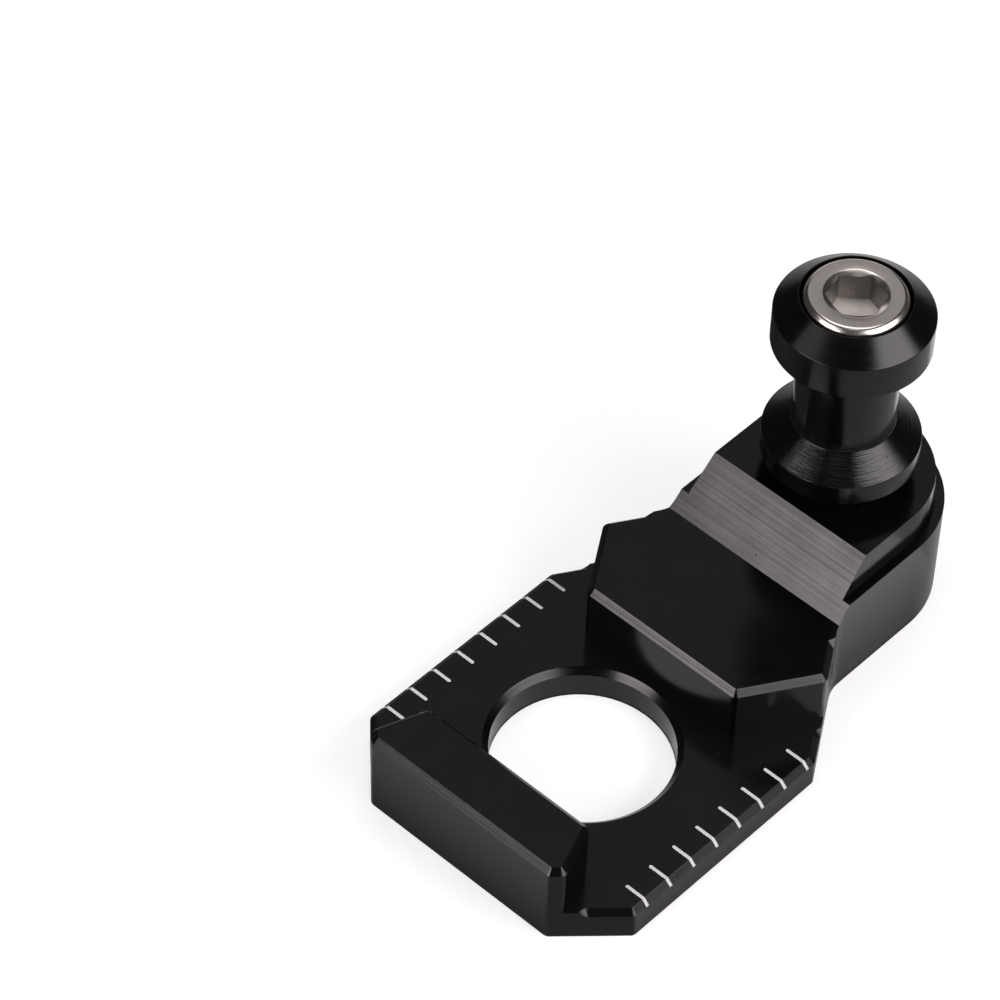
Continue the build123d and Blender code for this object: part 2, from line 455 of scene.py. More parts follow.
@dataclass(frozen=True)
class StainlessSteel:
    """Bright stainless steel of a cold formed cap screw.

    The eye gets a warm grey metal, faintly ringed where the head was faced. Copies of it are darker
    on the broached walls of the socket, as painted shade, and pale, rough and blotchy on its pressed
    floor, the pale colour being painted light.
    """

    name: str
    roughness: float
    colour: str
    dull_colour: str
    blotch_size: float
    blotch_spread: float
    lines: ToolLines
    blotch_detail: float = 4.0

    def build(self) -> Material:
        """Build the node material.

        Returns:
            The material.
        """
        material, tree = new_material(self.name)
        place = add_node(tree, "ShaderNodeTexCoord").outputs["Object"]
        blotch = add_node(
            tree,
            "ShaderNodeTexNoise",
            {"Vector": place, "Scale": 1 / self.blotch_size, "Detail": self.blotch_detail},
        )
        rough = add_node(
            tree,
            "ShaderNodeMapRange",
            {
                "Value": blotch.outputs[0],
                "From Min": NOISE_LOW,
                "From Max": NOISE_HIGH,
                "To Min": self.roughness - self.blotch_spread,
                "To Max": self.roughness + self.blotch_spread,
            },
        )
        rings = self.lines.pattern(tree, place)
        bump = add_node(tree, "ShaderNodeBump", {"Height": rings, "Distance": self.lines.height})
        colour = add_node(
            tree,
            "ShaderNodeMix",
            {"Factor": blotch.outputs[0], "A": linear(self.colour), "B": linear(self.dull_colour)},
            data_type="RGBA",
        )
        surface = add_node(
            tree,
            "ShaderNodeBsdfPrincipled",
            {
                "Base Color": colour.outputs["Result"],
                "Metallic": 1.0,
                "Roughness": rough.outputs[0],
                "Normal": bump.outputs[0],
            },
        )
        add_node(tree, "ShaderNodeOutputMaterial", {"Surface": surface.outputs[0]})
        return material


@dataclass(frozen=True)
class ScalePaint:
    """White enamel wiped into the engraved marks: satin, a little uneven and greyed by wiping."""

    name: str = "white_enamel_fill"
    colour: str = "#dcdede"
    wiped_colour: str = "#c6c8c8"
    blotch_size: float = 0.5 * MM
    blotch_detail: float = 3.0
    roughness: float = 0.45

    def build(self) -> Material:
        """Build the node material.

        Returns:
            The material.
        """
        material, tree = new_material(self.name)
        place = add_node(tree, "ShaderNodeTexCoord").outputs["Object"]
        blotch = add_node(
            tree,
            "ShaderNodeTexNoise",
            {"Vector": place, "Scale": 1 / self.blotch_size, "Detail": self.blotch_detail},
        )
        colour = add_node(
            tree,
            "ShaderNodeMix",
            {"Factor": blotch.outputs[0], "A": linear(self.colour), "B": linear(self.wiped_colour)},
            data_type="RGBA",
        )
        surface = add_node(
            tree,
            "ShaderNodeBsdfPrincipled",
            {"Base Color": colour.outputs["Result"], "Roughness": self.roughness},
        )
        add_node(tree, "ShaderNodeOutputMaterial", {"Surface": surface.outputs[0]})
        return material


@dataclass(frozen=True)
class PaperFloor:
    """Matt pale paper, shown white: the camera gets a glow that its shadows still darken."""

    name: str = "pale_paper"
    colour: str = "#bdbdbc"
    glow: float = 0.64
    mirrored_share: float = 0.085

    def build(self) -> Material:
        """Build the node material.

        Returns:
            The material.
        """
        material, tree = new_material(self.name)
        matt = add_node(tree, "ShaderNodeBsdfDiffuse", {"Color": linear(self.colour)})
        path = add_node(tree, "ShaderNodeLightPath").outputs
        mirrored = add_node(
            tree,
            "ShaderNodeMath",
            {0: path["Is Glossy Ray"], 1: path["Is Transmission Ray"]},
            operation="MAXIMUM",
        )
        seen = add_node(
            tree,
            "ShaderNodeMath",
            {0: mirrored.outputs[0], 1: self.mirrored_share, 2: path["Is Camera Ray"]},
            operation="MULTIPLY_ADD",
        )
        strength = add_node(
            tree, "ShaderNodeMath", {0: seen.outputs[0], 1: self.glow}, operation="MULTIPLY"
        )
        glow = add_node(tree, "ShaderNodeEmission", {"Strength": strength.outputs[0]})
        both = add_node(tree, "ShaderNodeAddShader", {0: matt.outputs[0], 1: glow.outputs[0]})
        add_node(tree, "ShaderNodeOutputMaterial", {"Surface": both.outputs[0]})
        return material


class Surface(Enum):
    """How a face of the block is shaded, from the one that rules to the one that follows."""

    FLAT = 0
    CURVED = 1
    EDGE_BREAK = 2


@dataclass
class AdjusterBlock:
    """The milled block, from a welded copy of its CAD mesh with broken edges."""

    node: str = "adjuster_block"
    slot: str = "block_anodised"
    weld: float = 2 * MICRON
    bevel_weld: float = 0.1 * MICRON
    flat_angle: float = radians(0.6)
    sharp_angle: float = radians(24)
    break_angle: float = radians(50)
    like_size: float = 2.5
    edge_break: float = 0.11 * MM
    edge_steps: int = 2
    scale_inner: float = 21.5 * MM
    scale_floor: float = 4.2 * MM
    scale_top: float = 8.4 * MM
    # Corner where a side chamfer of the deck ends, and how far along X and out along Y it is drawn.
    run_out_corner: Point = (33.68 * MM, 18.67 * MM, 14.8 * MM)
    run_out: tuple[float, float] = (1.18 * MM, -0.747 * MM)
    reach: float = 0.03 * MM
    # The slope and the chamfers have normals whose upright share lies between these two.
    chamfer_low: float = 0.55
    chamfer_high: float = 0.85

    def build(self, gloss: Material, cut: Material) -> Object:
        """Build and dress the block.

        Args:
            gloss: Finish of the faces that the face mill left smooth.
            cut: Finish of the slope and the chamfers.

        Returns:
            The finished piece.
        """
        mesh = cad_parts[self.node].data.copy()
        self.weld_mesh(mesh)
        mesh.materials.clear()
        for finish in (gloss, cut, gloss):
            mesh.materials.append(finish)
        rough_piece = new_object("block_before_edges", mesh)
        bevel = rough_piece.modifiers.new("edge_break", "BEVEL")
        bevel.limit_method = "WEIGHT"
        bevel.width = self.edge_break
        bevel.segments = self.edge_steps
        bevel.material = Surface.EDGE_BREAK.value
        rough_piece.modifiers.new("weld", "WELD").merge_threshold = self.bevel_weld
        piece = bake(rough_piece, "milled_block")
        self.shade(piece.data)
        self.dress(piece.data)
        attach(piece, "root")
        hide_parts(self.node)
        return piece

    def weld_mesh(self, mesh: Mesh) -> None:
        """Weld the loose triangles, join coplanar ones and mark faces and edges.

        Args:
            mesh: Copy of the CAD mesh, changed in place.
        """
        work = bmesh.new()
        work.from_mesh(mesh)
        bmesh.ops.remove_doubles(work, verts=work.verts, dist=self.weld)
        bmesh.ops.dissolve_limit(work, angle_limit=self.flat_angle, verts=work.verts, edges=work.edges)
        self.slope_run_outs(work)
        work.normal_update()
        surface = work.faces.layers.int.new("surface")
        for face in work.faces:
            face.smooth = True
            face.material_index = 0
            face[surface] = (Surface.CURVED if self.is_facet(face) else Surface.FLAT).value
        weights = work.edges.layers.float.new("bevel_weight_edge")
        for edge in work.edges:
            angle = edge.calc_face_angle_signed(0)
            if angle > self.sharp_angle and not self.beside_scale(edge):
                edge[weights] = 1.0
        if mesh.has_custom_normals:
            mesh.attributes.remove(mesh.attributes["custom_normal"])
        work.to_mesh(mesh)
        work.free()

    def slope_run_outs(self, work: bmesh.types.BMesh) -> None:
        """Draw the ends of the deck's side chamfers out into slopes, as a cutter leaves them.

        Args:
            work: Welded block, changed in place.
        """
        x, y, z = self.run_out_corner
        along, outward = self.run_out
        for vertex in work.verts:
            side = 1 if vertex.co.y > 0 else -1
            if (vertex.co - Vector((x, side * y, z))).length < self.reach:
                vertex.co.x += along
                vertex.co.y += side * outward

    def is_facet(self, face: bmesh.types.BMFace) -> bool:
        """Tell whether a face is one facet of a curve: a neighbour of like size leans a little.

        Args:
            face: Face of the welded block.

        Returns:
            True for a facet, False for a flat face.
        """
        area = face.calc_area()
        for edge in face.edges:
            leans = self.flat_angle < edge.calc_face_angle(0) < self.sharp_angle
            for other in edge.link_faces:
                share = other.calc_area() / area
                if leans and other is not face and 1 / self.like_size < share < self.like_size:
                    return True
        return False

    def beside_scale(self, edge: bmesh.types.BMEdge) -> bool:
        """Tell whether an edge belongs to the engraved scales or the chamfers that carry them.

        Args:
            edge: Edge of the welded block.

        Returns:
            True if both ends lie where the scales are.
        """
        return all(
            abs(v.co.y) > self.scale_inner and self.scale_floor < v.co.z < self.scale_top
            for v in edge.verts
        )

    def shade(self, mesh: Mesh) -> None:
        """Keep flats flat, curves smooth and let the broken edges blend into both.

        Args:
            mesh: Finished block, whose normals are set.
        """
        tags = mesh.attributes["surface"].data
        kinds = [
            Surface.EDGE_BREAK if face.material_index == Surface.EDGE_BREAK.value else Surface(tag.value)
            for face, tag in zip(mesh.polygons, tags)
        ]
        around: list[list[MeshPolygon]] = [[] for _ in mesh.vertices]
        for face in mesh.polygons:
            for corner in face.vertices:
                around[corner].append(face)
        normals = [
            self.corner_normal(face, around[corner], kinds)
            for face in mesh.polygons
            for corner in face.vertices
        ]
        mesh.normals_split_custom_set(normals)
        for name in ("surface", "bevel_weight_edge"):
            if name in mesh.attributes:
                mesh.attributes.remove(mesh.attributes[name])

    def corner_normal(
        self, face: MeshPolygon, around: list[MeshPolygon], kinds: list[Surface]
    ) -> Vector:
        """Work out the shading normal of one corner of a face.

        Args:
            face: Face that the corner belongs to.
            around: All faces that meet at the corner.
            kinds: Surface of each face.

        Returns:
            The face's own normal on a flat, and elsewhere the normal of what rules there.
        """
        kind = kinds[face.index]
        if kind is Surface.FLAT:
            return face.normal.copy()
        limit = cos(self.sharp_angle if kind is Surface.CURVED else self.break_angle)
        near = [other for other in around if other.normal.dot(face.normal) > limit]
        ruling = min(kinds[other.index].value for other in near)
        chosen = [other for other in near if kinds[other.index].value == ruling]
        if ruling == Surface.FLAT.value:
            return max(chosen, key=lambda other: other.normal.dot(face.normal)).normal.copy()
        return sum((other.normal * other.area for other in chosen), Vector()).normalized()

    def dress(self, mesh: Mesh) -> None:
        """Give the slope and the chamfers the cutter lines and the rest the gloss.

        Args:
            mesh: Finished block.
        """
        for face in mesh.polygons:
            face.material_index = int(self.chamfer_low < face.normal.z < self.chamfer_high)
        mesh.materials.pop(index=Surface.EDGE_BREAK.value)


@dataclass
class ScaleMarks:
    """White paint in the engraved marks of both long edges, laid out by a geometry tree."""

    count: int = 8
    pitch: float = 5.0 * MM
    first: float = -15.0 * MM
    half_plate: float = 26.3 * MM
    plate_top: float = 5.4 * MM
    chamfer: float = 0.95 * MM
    length: float = 4.25 * MM
    half_width: float = 0.274 * MM
    below_face: float = 0.015 * MM
    thickness: float = 0.14 * MM
    sharp_angle: float = radians(40)
    round_steps: int = 10

    def build(self, paint: Material) -> Object:
        """Build and dress all marks as one piece.

        Args:
            paint: Finish of the marks.

        Returns:
            The finished piece.
        """
        one = new_object("one_mark", self.one_mark())
        add_tree(
            one,
            self.row_tree(),
            {"Marks": self.count, "Pitch": self.pitch, "First": self.first, "Paint": paint},
        )
        piece = bake(one, "scale_mark_paint")
        piece.data.set_sharp_from_angle(angle=self.sharp_angle)
        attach(piece, "root")
        return piece

    def top_line(self) -> list[tuple[float, float]]:
        """Work out where the paint surface runs, in Y and Z, from the bend to the outer end.

        Returns:
            Bend and outer end of the paint surface.
        """
        bend = self.half_plate - self.chamfer - self.below_face * tan(EDGE_BEND / 2)
        level = self.plate_top - self.below_face
        outer = self.half_plate - self.below_face
        return [(bend, level), (outer, level - (outer - bend))]

    def one_mark(self) -> Mesh:
        """Build the paint of one mark on the far edge, at the axle centre.

        Returns:
            Closed mesh of a round-ended strip that bends down the chamfer.
        """
        (bend, level), (outer, low) = self.top_line()
        centre = self.half_plate - self.length + self.half_width
        arc = [pi * step / self.round_steps for step in range(self.round_steps + 1)]
        inner = [(self.half_width * cos(a), centre - self.half_width * sin(a), level) for a in arc]
        stations = inner + [
            (-self.half_width, bend, level),
            (-self.half_width, outer, low),
            (self.half_width, outer, low),
            (self.half_width, bend, level),
        ]
        work = bmesh.new()
        top = [work.verts.new(point) for point in stations]
        under = [work.verts.new((x, y, z - self.thickness)) for x, y, z in stations]
        count = len(inner)
        flat = list(range(count + 1)) + [count + 3]
        slope = [count, count + 1, count + 2, count + 3]
        for area in (flat, slope):
            work.faces.new([top[i] for i in area])
            work.faces.new([under[i] for i in reversed(area)])
        for i in range(len(stations)):
            following = (i + 1) % len(stations)
            work.faces.new([top[following], top[i], under[i], under[following]])
        bmesh.ops.recalc_face_normals(work, faces=work.faces)
        mesh = bpy.data.meshes.new("one_mark")
        work.to_mesh(mesh)
        work.free()
        return mesh

    def row_tree(self) -> NodeTree:
        """Build the tree that repeats one mark along both edges.

        Returns:
            Geometry tree with the inputs Marks, Pitch, First and Paint.
        """
        tree, given = new_geometry_tree(
            "scale_rows",
            {
                "Marks": "NodeSocketInt",
                "Pitch": "NodeSocketFloat",
                "First": "NodeSocketFloat",
                "Paint": "NodeSocketMaterial",
            },
        )
        start = add_node(tree, "ShaderNodeCombineXYZ", {"X": given.outputs["First"]})
        step = add_node(tree, "ShaderNodeCombineXYZ", {"X": given.outputs["Pitch"]})
        row = add_node(
            tree,
            "GeometryNodeMeshLine",
            {
                "Count": given.outputs["Marks"],
                "Start Location": start.outputs[0],
                "Offset": step.outputs[0],
            },
        )
        both = add_node(tree, "GeometryNodeJoinGeometry")
        for turn in (0.0, pi):
            placed = add_node(
                tree,
                "GeometryNodeInstanceOnPoints",
                {
                    "Points": row.outputs[0],
                    "Instance": given.outputs["Geometry"],
                    "Rotation": (0, 0, turn),
                },
            )
            tree.links.new(placed.outputs[0], both.inputs[0])
        end_geometry_tree(tree, both.outputs[0], given.outputs["Paint"])
        return tree


@dataclass
class StandSpool:
    """The turned spool that takes the hook of a paddock stand, as a lathe tree makes it."""

    node: str = "stand_spool"
    slot: str = "spool_anodised"
    axis_x: float = field(init=False)
    foot: float = field(init=False)
    bore: float = 5.5 * MM
    hub: float = 7.5 * MM
    hub_height: float = 4.3 * MM
    flange: float = 12.0 * MM
    foot_band: float = 3.6 * MM
    cone: float = 3.3 * MM
    neck: float = 7.8 * MM
    neck_length: float = 12.5 * MM
    head_band: float = 5.7 * MM
    crown: float = 3.0 * MM
    counterbore: float = 8.3 * MM
    counterbore_depth: float = 9.35 * MM
    crown_rim: float = 0.15 * MM
    edge_round: float = 0.22 * MM
    neck_round: float = 0.4 * MM
    fine_round: float = 0.06 * MM
    # The foot cone has normals whose upright share is above this.
    cone_slope: float = 0.6
    segments: int = 224
    round_steps: int = 4

    def __post_init__(self) -> None:
        """Take the axis and the lowest height from the CAD spool."""
        low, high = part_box(self.node)
        self.axis_x = (low.x + high.x) / 2
        self.foot = low.z

    def profile(self) -> list[tuple[float, float, float]]:
        """List the corners of half the section, clockwise.

        Returns:
            Radius, height and rounding of each corner.
        """
        band = self.foot + self.hub_height
        cone = band + self.foot_band
        neck = cone + self.cone
        neck_end = neck + self.neck_length
        head = neck_end + self.cone
        crown = head + self.head_band
        top = crown + self.crown
        seat = top - self.counterbore_depth
        edge = self.edge_round
        fine = self.fine_round
        return [
            (self.bore, self.foot, edge),
            (self.bore, seat, edge),
            (self.counterbore, seat, edge),
            (self.counterbore, top, fine),
            (self.counterbore + self.crown_rim, top, fine),
            (self.flange, crown, edge),
            (self.flange, head, edge),
            (self.neck, neck_end, self.neck_round),
            (self.neck, neck, self.neck_round),
            (self.flange, cone, edge),
            (self.flange, band, edge),
            (self.hub, band, edge),
            (self.hub, self.foot, edge),
        ]

    def build(self, finish: Material, ringed: Material) -> Object:
        """Build and dress the spool.

        Args:
            finish: Finish of the turned faces.
            ringed: Finish of the foot cone, which keeps its turning rings.

        Returns:
            The finished piece.
        """
        section = closed_section(
            "spool_section", [(radius, -height, rounding) for radius, height, rounding in self.profile()]
        )
        add_tree(
            section,
            lathe_tree(),
            {
                "Segments": self.segments,
                "Round steps": self.round_steps,
                "Axis X": self.axis_x,
                "Finish": finish,
            },
        )
        turned = bake(section, "turned_spool_before_normals")
        weigh_normals(turned)
        piece = bake(turned, "turned_spool")
        self.dress(piece.data, ringed)
        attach(piece, "root")
        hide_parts(self.node)
        return piece

    def dress(self, mesh: Mesh, ringed: Material) -> None:
        """Give the foot cone its own finish.

        Args:
            mesh: Finished spool.
            ringed: Finish of the foot cone.
        """
        mesh.materials.append(ringed)
        cone = self.foot + self.hub_height + self.foot_band
        for face in mesh.polygons:
            on_cone = cone < face.center.z < cone + self.cone
            face.material_index = int(on_cone and face.normal.z > self.cone_slope)


def lathe_tree() -> NodeTree:
    """Build the tree that rounds a half section and turns it round an upright axis.

    The section's X is the radius and its Y the height, downwards. A point's curve radius is the
    rounding of its corner.

    Returns:
        Geometry tree with the inputs Segments, Round steps, Axis X and Finish.
    """
    tree, given = new_geometry_tree(
        "lathe",
        {
            "Segments": "NodeSocketInt",
            "Round steps": "NodeSocketInt",
            "Axis X": "NodeSocketFloat",
            "Finish": "NodeSocketMaterial",
        },
    )
    # Any radius will do: the section is moved in by as much as the circle takes it out.
    turning_radius = 10 * MM
    rounding = add_node(tree, "GeometryNodeInputRadius")
    rounded = add_node(
        tree,
        "GeometryNodeFilletCurve",
        {
            "Curve": given.outputs["Geometry"],
            "Count": given.outputs["Round steps"],
            "Radius": rounding.outputs[0],
            "Limit Radius": True,
        },
        mode="POLY",
    )
    moved = add_node(
        tree,
        "GeometryNodeTransform",
        {"Geometry": rounded.outputs[0], "Translation": (-turning_radius, 0, 0)},
    )
    circle = add_node(
        tree,
        "GeometryNodeCurvePrimitiveCircle",
        {"Resolution": given.outputs["Segments"], "Radius": turning_radius},
    )
    upright = add_node(tree, "GeometryNodeSetCurveNormal", {"Curve": circle.outputs[0]}, mode="Z_UP")
    turned = add_node(
        tree, "GeometryNodeCurveToMesh", {"Curve": upright.outputs[0], "Profile Curve": moved.outputs[0]}
    )
    axis = add_node(tree, "ShaderNodeCombineXYZ", {"X": given.outputs["Axis X"]})
    placed = add_node(
        tree, "GeometryNodeTransform", {"Geometry": turned.outputs[0], "Translation": axis.outputs[0]}
    )
    end_geometry_tree(tree, placed.outputs[0], given.outputs["Finish"])
    return tree


@dataclass
class SpoolScrew:
    """The hexagon socket cap screw, in rings round its axis, with a thread from a geometry tree."""

    node: str = "spool_screw"
    slot: str = "screw_steel"
    axis_x: float = field(init=False)
    tip: float = field(init=False)
    seat: float = field(init=False)
    top: float = field(init=False)
    thread_end: float = field(init=False)
    shank: float = 5.0 * MM
    shank_length: float = 40.0 * MM
    core: float = 4.08 * MM
    tip_radius: float = 3.4 * MM
    thread_length: float = 30.8 * MM
    run_out: float = 0.9 * MM
    under_round: float = 0.4 * MM
    head: float = 7.9 * MM
    head_edge: float = 0.78 * MM
    rim_round: float = 0.9 * MM
    foot_break: float = 0.15 * MM
    socket_flat: float = 4.0 * MM
    socket_depth: float = 5.0 * MM
    # Degrees from the X axis to a corner of the socket.
    socket_turn: float = 12.0
    mouth: float = 4.9 * MM
    mouth_slope: float = radians(60)
    mouth_break: float = 0.12 * MM
    mouth_drop: float = 0.04 * MM
    drill: float = 3.2 * MM
    drill_depth: float = 0.5 * MM
    pitch: float = 1.5 * MM
    crest: float = 0.19 * MM
    root: float = 1.35 * MM
    root_sink: float = 0.05 * MM
    sharp_angle: float = radians(24)
    segments: int = 120
    round_steps: int = 8
    thread_steps: int = 48

    def __post_init__(self) -> None:
        """Take the axis and the heights from the CAD screw."""
        low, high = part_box(self.node)
        self.axis_x = (low.x + high.x) / 2
        self.tip = low.z
        self.top = high.z
        self.seat = self.tip + self.shank_length
        self.thread_end = self.tip + self.thread_length

    def build(self, bright: Material, wall: Material, pressed: Material) -> list[Object]:
        """Build and dress the screw and its thread.

        Args:
            bright: Finish of the head and the shank.
            wall: Finish of the socket walls, whose darker colour is painted shade.
            pressed: Finish of the socket floor, whose pale colour is painted light.

        Returns:
            The finished pieces.
        """
        mesh = bpy.data.meshes.new("cap_screw")
        wall_from, floor_from = self.fill(mesh)
        screw = new_object("cap_screw", mesh)
        for finish in (bright, wall, pressed):
            mesh.materials.append(finish)
        for face in mesh.polygons:
            face.use_smooth = True
            face.material_index = int(face.index >= wall_from) + int(face.index >= floor_from)
        mesh.set_sharp_from_angle(angle=self.sharp_angle)
        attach(screw, "root")
        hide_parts(self.node)
        thread = self.thread(bright)
        return [screw, thread]

    def turned_line(self) -> list[tuple[float, float]]:
        """List radius and height of the turned outside, from the tip to the socket mouth.

        Returns:
            Radius and height of each ring.
        """
        under = self.under_round
        line = [
            (self.tip_radius, self.tip),
            (self.core, self.tip + self.core - self.tip_radius),
            (self.core, self.thread_end),
            (self.shank, self.thread_end + self.run_out),
        ]
        steps = [radians(90) * i / self.round_steps for i in range(self.round_steps + 1)]
        line += [(self.shank + under * (1 - cos(a)), self.seat - under * (1 - sin(a))) for a in steps]
        line += [(self.head - self.foot_break, self.seat), (self.head, self.seat + self.foot_break)]
        line += self.rim_line()
        line += [(self.mouth + self.mouth_break, self.top), (self.mouth, self.top - self.mouth_drop)]
        return line

    def rim_line(self) -> list[tuple[float, float]]:
        """List radius and height of the bevelled rim of the head, from its side to its face.

        Returns:
            Radius and height of each ring: a round, a bevel and the same round again.
        """
        turns = [EDGE_BEND * i / self.round_steps for i in range(self.round_steps + 1)]
        curve = self.rim_round
        reach = curve * tan(EDGE_BEND / 2)
        side = self.top - self.head_edge - reach
        face = self.head - self.head_edge - reach
        lower = [(self.head - curve * (1 - cos(a)), side + curve * sin(a)) for a in turns]
        upper = [(face + curve * sin(a), self.top - curve * (1 - cos(a))) for a in reversed(turns)]
        return lower + upper

    def hexagon(self, angle: float) -> float:
        """Give the radius of the six-sided socket wall in a direction, in degrees round the axis."""
        return self.socket_flat / cos(radians((angle - self.socket_turn) % 60 - 30))

    def fill(self, mesh: Mesh) -> tuple[int, int]:
        """Build the closed mesh of the screw from rings.

        Args:
            mesh: Empty mesh.

        Returns:
            Numbers of the first face of the socket walls and of the socket floor.
        """
        angles = [360 * i / self.segments for i in range(self.segments)]
        rings: list[list[Point]] = [[self.place(r, a, z) for a in angles] for r, z in self.turned_line()]
        walls = [self.hexagon(a) for a in angles]
        floor = self.top - self.socket_depth
        mouth = self.top - self.mouth_drop
        slope = tan(self.mouth_slope)
        rings += [
            [self.place(wall, a, mouth - (self.mouth - wall) / slope) for wall, a in zip(walls, angles)],
            [self.place(wall, a, floor) for wall, a in zip(walls, angles)],
            [self.place(self.drill, a, floor) for a in angles],
        ]
        work = bmesh.new()
        made = [[work.verts.new(point) for point in ring] for ring in rings]
        start = work.verts.new((self.axis_x, 0, self.tip))
        end = work.verts.new((self.axis_x, 0, floor - self.drill_depth))
        count = self.segments
        for i in range(count):
            work.faces.new([start, made[0][(i + 1) % count], made[0][i]])
        for lower, upper in zip(made[:-3], made[1:-2]):
            self.bridge(work, lower, upper)
        wall_from = len(work.faces)
        self.bridge(work, made[-3], made[-2])
        floor_from = len(work.faces)
        self.bridge(work, made[-2], made[-1])
        for i in range(count):
            work.faces.new([end, made[-1][i], made[-1][(i + 1) % count]])
        work.to_mesh(mesh)
        work.free()
        return wall_from, floor_from

    def place(self, radius: float, angle: float, height: float) -> Point:
        """Give the point at a radius, an angle in degrees and a height on the screw."""
        turn = radians(angle)
        return self.axis_x + radius * cos(turn), radius * sin(turn), height

    def bridge(self, work: bmesh.types.BMesh, lower: list, upper: list) -> None:
        """Join two rings of points by a band of faces.

        Args:
            work: Mesh that gets the faces.
            lower: Points of the first ring.
            upper: Points of the second ring, as many.
        """
        count = len(lower)
        for i in range(count):
            following = (i + 1) % count
            work.faces.new([lower[i], lower[following], upper[following], upper[i]])

    def thread(self, bright: Material) -> Object:
        """Build the thread: a ridge that follows a helix up the core.

        Args:
            bright: Finish of the thread.

        Returns:
            The finished piece.
        """
        reach = self.shank - self.core
        section = [
            (-self.root_sink, -self.root / 2),
            (reach, -self.crest / 2),
            (reach, self.crest / 2),
            (-self.root_sink, self.root / 2),
        ]
        ridge = closed_section("thread_section", [(outward, up, 1) for outward, up in section])
        begin = self.tip + self.pitch / 2
        rise = self.thread_end - begin
        add_tree(
            ridge,
            self.helix_tree(),
            {
                "Core radius": self.core,
                "Turns": rise / self.pitch,
                "Rise": rise,
                "Axis X": self.axis_x,
                "Start Z": begin,
                "Finish": bright,
            },
        )
        piece = bake(ridge, "screw_thread")
        piece.data.set_sharp_from_angle(angle=self.sharp_angle)
        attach(piece, "root")
        return piece

    def helix_tree(self) -> NodeTree:
        """Build the tree that sweeps the thread section up a helix.

        Returns:
            Geometry tree with the inputs Core radius, Turns, Rise, Axis X, Start Z and Finish.
        """
        sizes = ("Core radius", "Turns", "Rise", "Axis X", "Start Z")
        kinds = {name: "NodeSocketFloat" for name in sizes} | {"Finish": "NodeSocketMaterial"}
        tree, given = new_geometry_tree("screw_thread", kinds)
        helix = add_node(
            tree,
            "GeometryNodeCurveSpiral",
            {
                "Resolution": self.thread_steps,
                "Rotations": given.outputs["Turns"],
                "Start Radius": given.outputs["Core radius"],
                "End Radius": given.outputs["Core radius"],
                "Height": given.outputs["Rise"],
                "Reverse": True,
            },
        )
        upright = add_node(tree, "GeometryNodeSetCurveNormal", {"Curve": helix.outputs[0]}, mode="Z_UP")
        swept = add_node(
            tree,
            "GeometryNodeCurveToMesh",
            {"Curve": upright.outputs[0], "Profile Curve": given.outputs["Geometry"], "Fill Caps": True},
        )
        where = add_node(
            tree, "ShaderNodeCombineXYZ", {"X": given.outputs["Axis X"], "Z": given.outputs["Start Z"]}
        )
        placed = add_node(
            tree,
            "GeometryNodeTransform",
            {"Geometry": swept.outputs[0], "Translation": where.outputs[0]},
        )
        end_geometry_tree(tree, placed.outputs[0], given.outputs["Finish"])
        return tree


@dataclass(frozen=True)
class Softbox:
    """A soft lamp: a glowing panel with feathered edges that faces the object."""

    name: str
    azimuth: float
    elevation: float
    distance: float
    width: float
    height: float
    strength: float
    tint: str
    feather_left: float
    feather_right: float
    feather_low: float
    feather_high: float

    def build(self, target: Vector) -> Object:
        """Build the panel.

        Args:
            target: Point that the panel faces.

        Returns:
            The panel, which the camera does not see.
        """
        turn = radians(self.azimuth)
        rise = radians(self.elevation)
        back = Vector((cos(turn) * cos(rise), sin(turn) * cos(rise), sin(rise)))
        right = Vector((0, 0, 1)).cross(back).normalized()
        up = back.cross(right)
        x = self.width / 2
        y = self.height / 2
        mesh = flat_mesh(self.name, [(-x, y, 0), (x, y, 0), (x, -y, 0), (-x, -y, 0)])
        panel = new_object(self.name, mesh)
        turned = Matrix((right, up, back)).transposed().to_4x4()
        panel.matrix_world = Matrix.Translation(target + back * self.distance) @ turned
        mesh.materials.append(self.glow())
        panel.visible_camera = False
        panel.visible_shadow = False
        return panel

    def glow(self) -> Material:
        """Build the panel's light, full in the middle and fading to its edges.

        Returns:
            The material.
        """
        material, tree = new_material(self.name + "_cloth")
        place = add_node(tree, "ShaderNodeTexCoord").outputs["Object"]
        parts = add_node(tree, "ShaderNodeSeparateXYZ", {0: place})
        shares = []
        for axis, size, sign, feather in (
            ("X", self.width, -1, self.feather_left),
            ("X", self.width, 1, self.feather_right),
            ("Y", self.height, -1, self.feather_low),
            ("Y", self.height, 1, self.feather_high),
        ):
            fade = add_node(
                tree,
                "ShaderNodeMapRange",
                {
                    "Value": parts.outputs[axis],
                    "From Min": sign * (size / 2 - feather),
                    "From Max": sign * size / 2,
                    "To Min": 1.0,
                    "To Max": 0.0,
                },
                interpolation_type="SMOOTHSTEP",
            )
            shares.append(fade.outputs[0])
        power: float | NodeSocket = self.strength
        for share in shares:
            dimmed = add_node(tree, "ShaderNodeMath", {0: share, 1: power}, operation="MULTIPLY")
            power = dimmed.outputs[0]
        glow = add_node(tree, "ShaderNodeEmission", {"Color": linear(self.tint), "Strength": power})
        add_node(tree, "ShaderNodeOutputMaterial", {"Surface": glow.outputs[0]})
        return material


